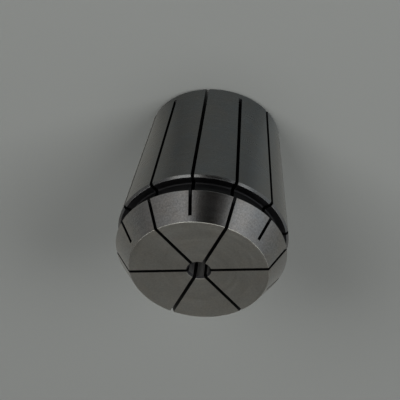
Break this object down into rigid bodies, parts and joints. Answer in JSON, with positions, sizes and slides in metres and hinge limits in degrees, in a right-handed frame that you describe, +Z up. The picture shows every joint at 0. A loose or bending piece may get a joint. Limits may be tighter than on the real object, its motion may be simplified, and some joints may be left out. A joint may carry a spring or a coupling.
{
  "type": "er collet",
  "caption": "Slotted steel spring collet with a seating taper, a nut groove and a short nose cone, holding a small round tool shank in its bore.",
  "frame": {"origin": "centre of the small back end, on the axis, where the collet stands", "axes": "+Z up the axis towards the nose and its face; +X along one of the slots cut from the face"},
  "size_m": [0.041, 0.041, 0.046],
  "materials": {
    "ground_steel": "fine ground, bright, with the nut groove and the slots left dark"
  },
  "bodies": {
    "root": {"collet": "ground_steel"}
  },
  "joints": []
}
